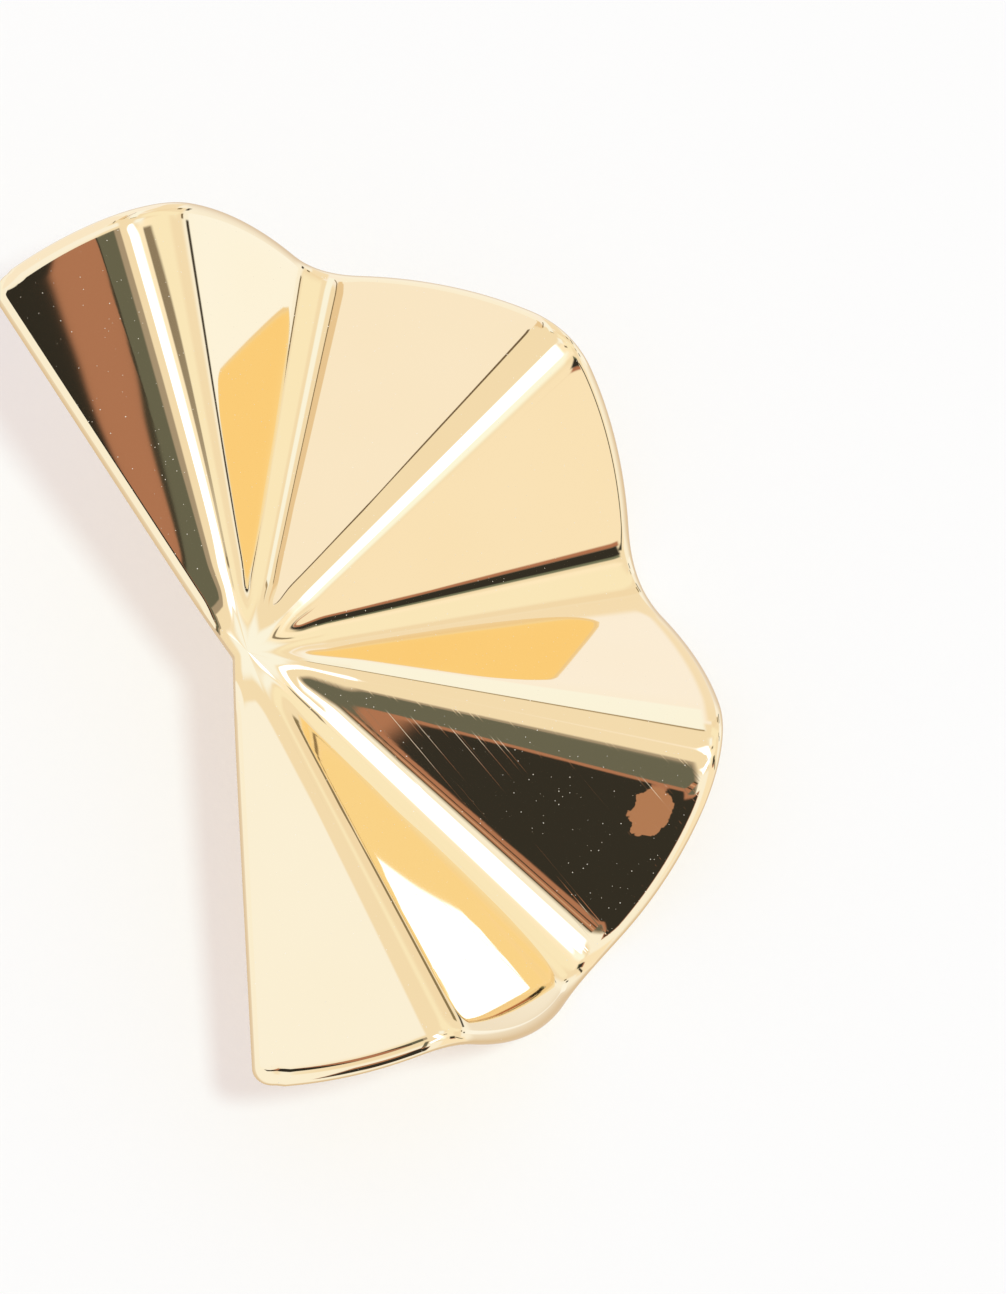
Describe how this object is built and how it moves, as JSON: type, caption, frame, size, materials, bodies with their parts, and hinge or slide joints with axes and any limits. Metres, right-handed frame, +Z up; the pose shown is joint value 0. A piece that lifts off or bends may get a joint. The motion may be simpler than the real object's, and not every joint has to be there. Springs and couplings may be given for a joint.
{
  "type": "fan earring",
  "caption": "Pleated fan ear stud of polished gold-coloured metal: a rounded, folded sheet that spreads from a pivot, with a straight post behind it, lying as it comes to rest.",
  "frame": {"origin": "on the surface that the earring lies on, under the middle of its bounding box", "axes": "+Z up from the surface that it lies on, front of the fan up; +Y along the longest extent, from the lower corner to the upper one; +X from the pivot towards the rim"},
  "size_m": [0.038, 0.0478, 0.0198],
  "materials": {
    "polished_gold": "mirror polished, pale gold plating",
    "post_gold": "drawn pin, gold plated, satin"
  },
  "bodies": {
    "root": {"pleated_fan": "polished_gold", "ear_post": "post_gold"}
  },
  "joints": []
}
